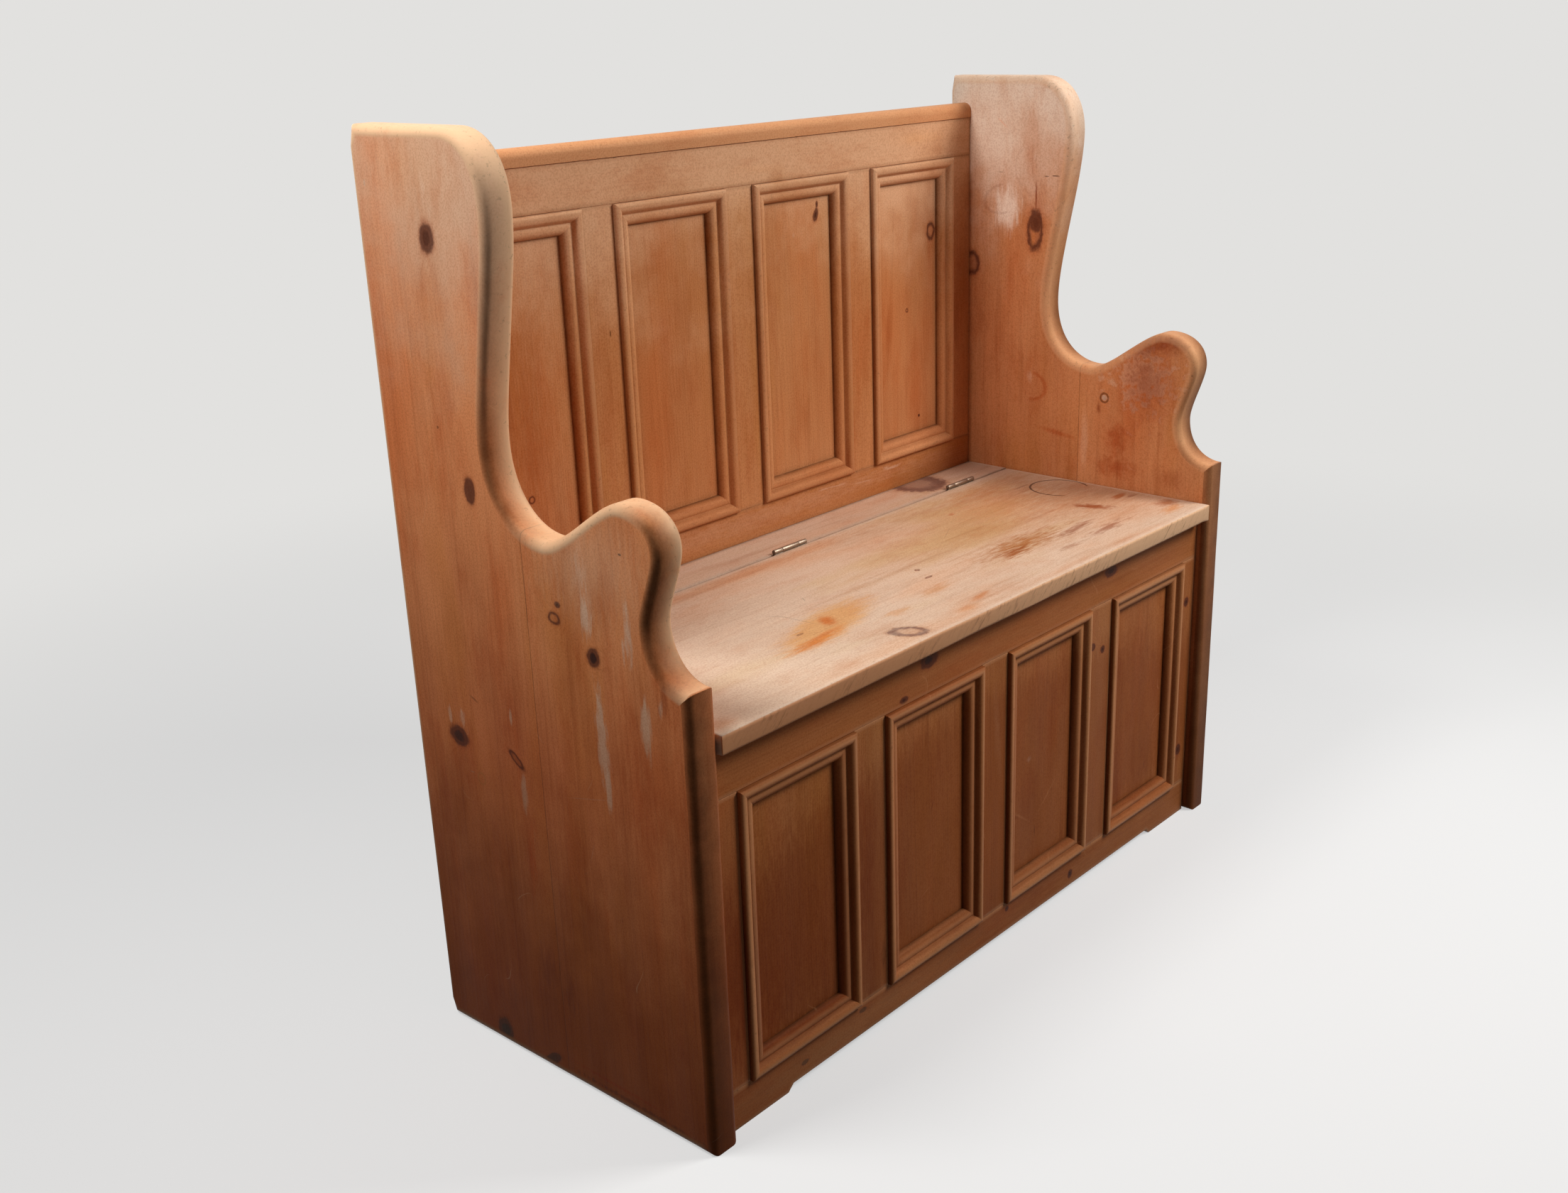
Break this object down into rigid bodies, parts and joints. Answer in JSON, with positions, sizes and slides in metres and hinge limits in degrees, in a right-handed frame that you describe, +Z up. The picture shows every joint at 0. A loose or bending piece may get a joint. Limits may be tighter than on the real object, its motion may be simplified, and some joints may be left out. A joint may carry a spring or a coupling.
{
  "type": "settle bench",
  "caption": "Pine box settle with scrolled ends, a panelled back and front, and a hinged seat lid over a storage box.",
  "frame": {"origin": "on the floor, under the middle of the bench's box", "axes": "+X runs across the bench from its left end to its right end as a viewer in front sees it, -Y is the front and +Z is up"},
  "size_m": [1.067, 0.448, 1.049],
  "materials": {
    "aged_pine": "old waxed pine, honey brown, satin",
    "seat_pine": "worn and faded pine with stains, low sheen",
    "inner_pine": "plain sawn and planed pine, dull",
    "hinge_steel": "plain steel, lightly tarnished"
  },
  "bodies": {
    "carcass": {"back_bottom_rail": "aged_pine", "back_cap_rail": "aged_pine", "back_moulding_1": "aged_pine", "back_moulding_2": "aged_pine", "back_moulding_3": "aged_pine", "back_moulding_4": "aged_pine", "back_muntin_1": "aged_pine", "back_muntin_2": "aged_pine", "back_muntin_3": "aged_pine", "back_panel_1": "aged_pine", "back_panel_2": "aged_pine", "back_panel_3": "aged_pine", "back_panel_4": "aged_pine", "back_stile_left": "aged_pine", "back_stile_right": "aged_pine", "back_top_rail": "aged_pine", "floor_bearer_left": "inner_pine", "floor_bearer_middle": "inner_pine", "floor_bearer_right": "inner_pine", "floor_board_1": "inner_pine", "floor_board_2": "inner_pine", "floor_board_3": "inner_pine", "front_bottom_rail": "aged_pine", "front_moulding_1": "aged_pine", "front_moulding_2": "aged_pine", "front_moulding_3": "aged_pine", "front_moulding_4": "aged_pine", "front_muntin_1": "aged_pine", "front_muntin_2": "aged_pine", "front_muntin_3": "aged_pine", "front_panel_1": "aged_pine", "front_panel_2": "aged_pine", "front_panel_3": "aged_pine", "front_panel_4": "aged_pine", "front_stile_left": "aged_pine", "front_stile_right": "aged_pine", "front_top_rail": "aged_pine", "hinge_strip": "seat_pine", "left_end": "aged_pine", "left_hinge_fixed_leaf": "hinge_steel", "left_hinge_pin": "hinge_steel", "lower_back_board_1": "inner_pine", "lower_back_board_2": "inner_pine", "lower_back_board_3": "inner_pine", "middle_hinge_fixed_leaf": "hinge_steel", "middle_hinge_pin": "hinge_steel", "right_end": "aged_pine", "right_hinge_fixed_leaf": "hinge_steel", "right_hinge_pin": "hinge_steel", "seat_bearer_left": "inner_pine", "seat_bearer_right": "inner_pine", "strip_bearer": "inner_pine"},
    "lid": {"left_hinge_lid_leaf": "hinge_steel", "lid_cleat_left": "inner_pine", "lid_cleat_right": "inner_pine", "middle_hinge_lid_leaf": "hinge_steel", "right_hinge_lid_leaf": "hinge_steel", "seat_lid": "seat_pine"}
  },
  "joints": [
    {"name": "lid_hinge", "type": "hinge", "parent": "carcass", "child": "lid", "pos_m": [0, 0.1202, 0.4829], "axis": [-1, 0, 0], "range_deg": [0, 100]}
  ]
}
